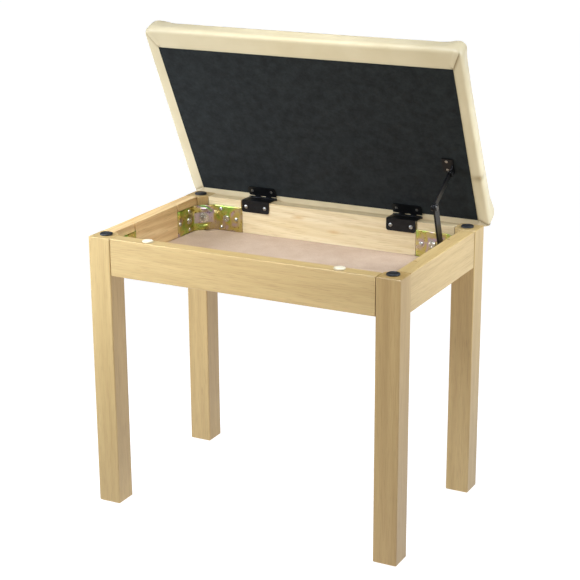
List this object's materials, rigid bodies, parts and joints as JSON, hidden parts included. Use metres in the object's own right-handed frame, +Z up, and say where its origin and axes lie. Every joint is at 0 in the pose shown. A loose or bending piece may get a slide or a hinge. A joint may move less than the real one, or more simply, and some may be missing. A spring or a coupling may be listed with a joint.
{
  "type": "piano bench",
  "caption": "Storage piano bench with square wooden legs and aprons, folded steel corner brackets and a hinged upholstered seat held open by a folding stay.",
  "frame": {"origin": "on the floor at the centre of the open bench's bounding box", "axes": "+X to the right along the bench's length, +Y to the rear towards the hinges, +Z up"},
  "size_m": [0.538, 0.3584, 0.7449],
  "materials": {
    "leg_wood": "clear satin lacquer over a light straight-grained hardwood",
    "apron_wood": "clear satin lacquer over a light straight-grained hardwood",
    "hardboard": "smooth unpainted hardboard",
    "yellow_zinc": "yellow zinc plating with an iridescent sheen",
    "bright_steel": "bright zinc plating",
    "black_steel": "black satin coating",
    "foot_rubber": "dark moulded rubber",
    "cream_pad": "soft cream stick-on pad",
    "vinyl": "smooth cream artificial leather",
    "plywood": "bare plywood",
    "foam": "cut upholstery foam",
    "dust_cloth": "black non-woven dust cloth"
  },
  "bodies": {
    "frame": {"leg_front_left": "leg_wood", "foot_pad_front_left": "foot_rubber", "lid_bumper_front_left": "foot_rubber", "corner_bracket_front_left": "yellow_zinc", "hanger_bolt_front_left": "bright_steel", "hanger_nut_front_left": "bright_steel", "apron_bolt_front_left_side": "bright_steel", "apron_bolt_front_left_long": "bright_steel", "leg_front_right": "leg_wood", "foot_pad_front_right": "foot_rubber", "lid_bumper_front_right": "foot_rubber", "corner_bracket_front_right": "yellow_zinc", "hanger_bolt_front_right": "bright_steel", "hanger_nut_front_right": "bright_steel", "apron_bolt_front_right_side": "bright_steel", "apron_bolt_front_right_long": "bright_steel", "leg_rear_right": "leg_wood", "foot_pad_rear_right": "foot_rubber", "lid_bumper_rear_right": "foot_rubber", "corner_bracket_rear_right": "yellow_zinc", "hanger_bolt_rear_right": "bright_steel", "hanger_nut_rear_right": "bright_steel", "apron_bolt_rear_right_side": "bright_steel", "apron_bolt_rear_right_long": "bright_steel", "leg_rear_left": "leg_wood", "foot_pad_rear_left": "foot_rubber", "lid_bumper_rear_left": "foot_rubber", "corner_bracket_rear_left": "yellow_zinc", "hanger_bolt_rear_left": "bright_steel", "hanger_nut_rear_left": "bright_steel", "apron_bolt_rear_left_side": "bright_steel", "apron_bolt_rear_left_long": "bright_steel", "front_apron": "apron_wood", "rear_apron": "apron_wood", "left_apron": "apron_wood", "right_apron": "apron_wood", "bottom_panel": "hardboard", "apron_pad_left": "cream_pad", "apron_pad_right": "cream_pad", "hinge_frame_leaf_left": "black_steel", "hinge_pin_left": "black_steel", "hinge_frame_leaf_right": "black_steel", "hinge_pin_right": "black_steel", "stay_base_bracket": "black_steel", "stay_base_rivet": "black_steel"},
    "lid": {"hinge_lid_leaf_left": "black_steel", "hinge_lid_leaf_right": "black_steel", "seat_cover": "vinyl", "seat_board": "plywood", "seat_foam": "foam", "dust_cover": "dust_cloth", "stay_lid_bracket": "black_steel", "stay_lid_rivet": "black_steel"},
    "stay_upper_arm": {"stay_upper_arm": "black_steel", "stay_elbow_rivet": "bright_steel"},
    "stay_lower_arm": {"stay_lower_arm": "black_steel"}
  },
  "joints": [
    {"name": "lid_hinge", "type": "hinge", "parent": "frame", "child": "lid", "pos_m": [0, 0.14451, 0.44115], "axis": [1, 0, 0], "range_deg": [0, 63.5]},
    {"name": "stay_lid_pivot", "type": "hinge", "parent": "lid", "child": "stay_upper_arm", "pos_m": [0.2227, 0.09314, 0.53175], "axis": [1, 0, 0], "range_deg": [-75, 0]},
    {"name": "stay_elbow", "type": "hinge", "parent": "stay_upper_arm", "child": "stay_lower_arm", "pos_m": [0.2244, 0.02931, 0.49195], "axis": [1, 0, 0], "range_deg": [0, 84]}
  ],
  "couplings": [
    {"joint": "stay_lid_pivot", "follows": "lid_hinge", "ratio": -1.172},
    {"joint": "stay_elbow", "follows": "lid_hinge", "ratio": 1.307}
  ]
}
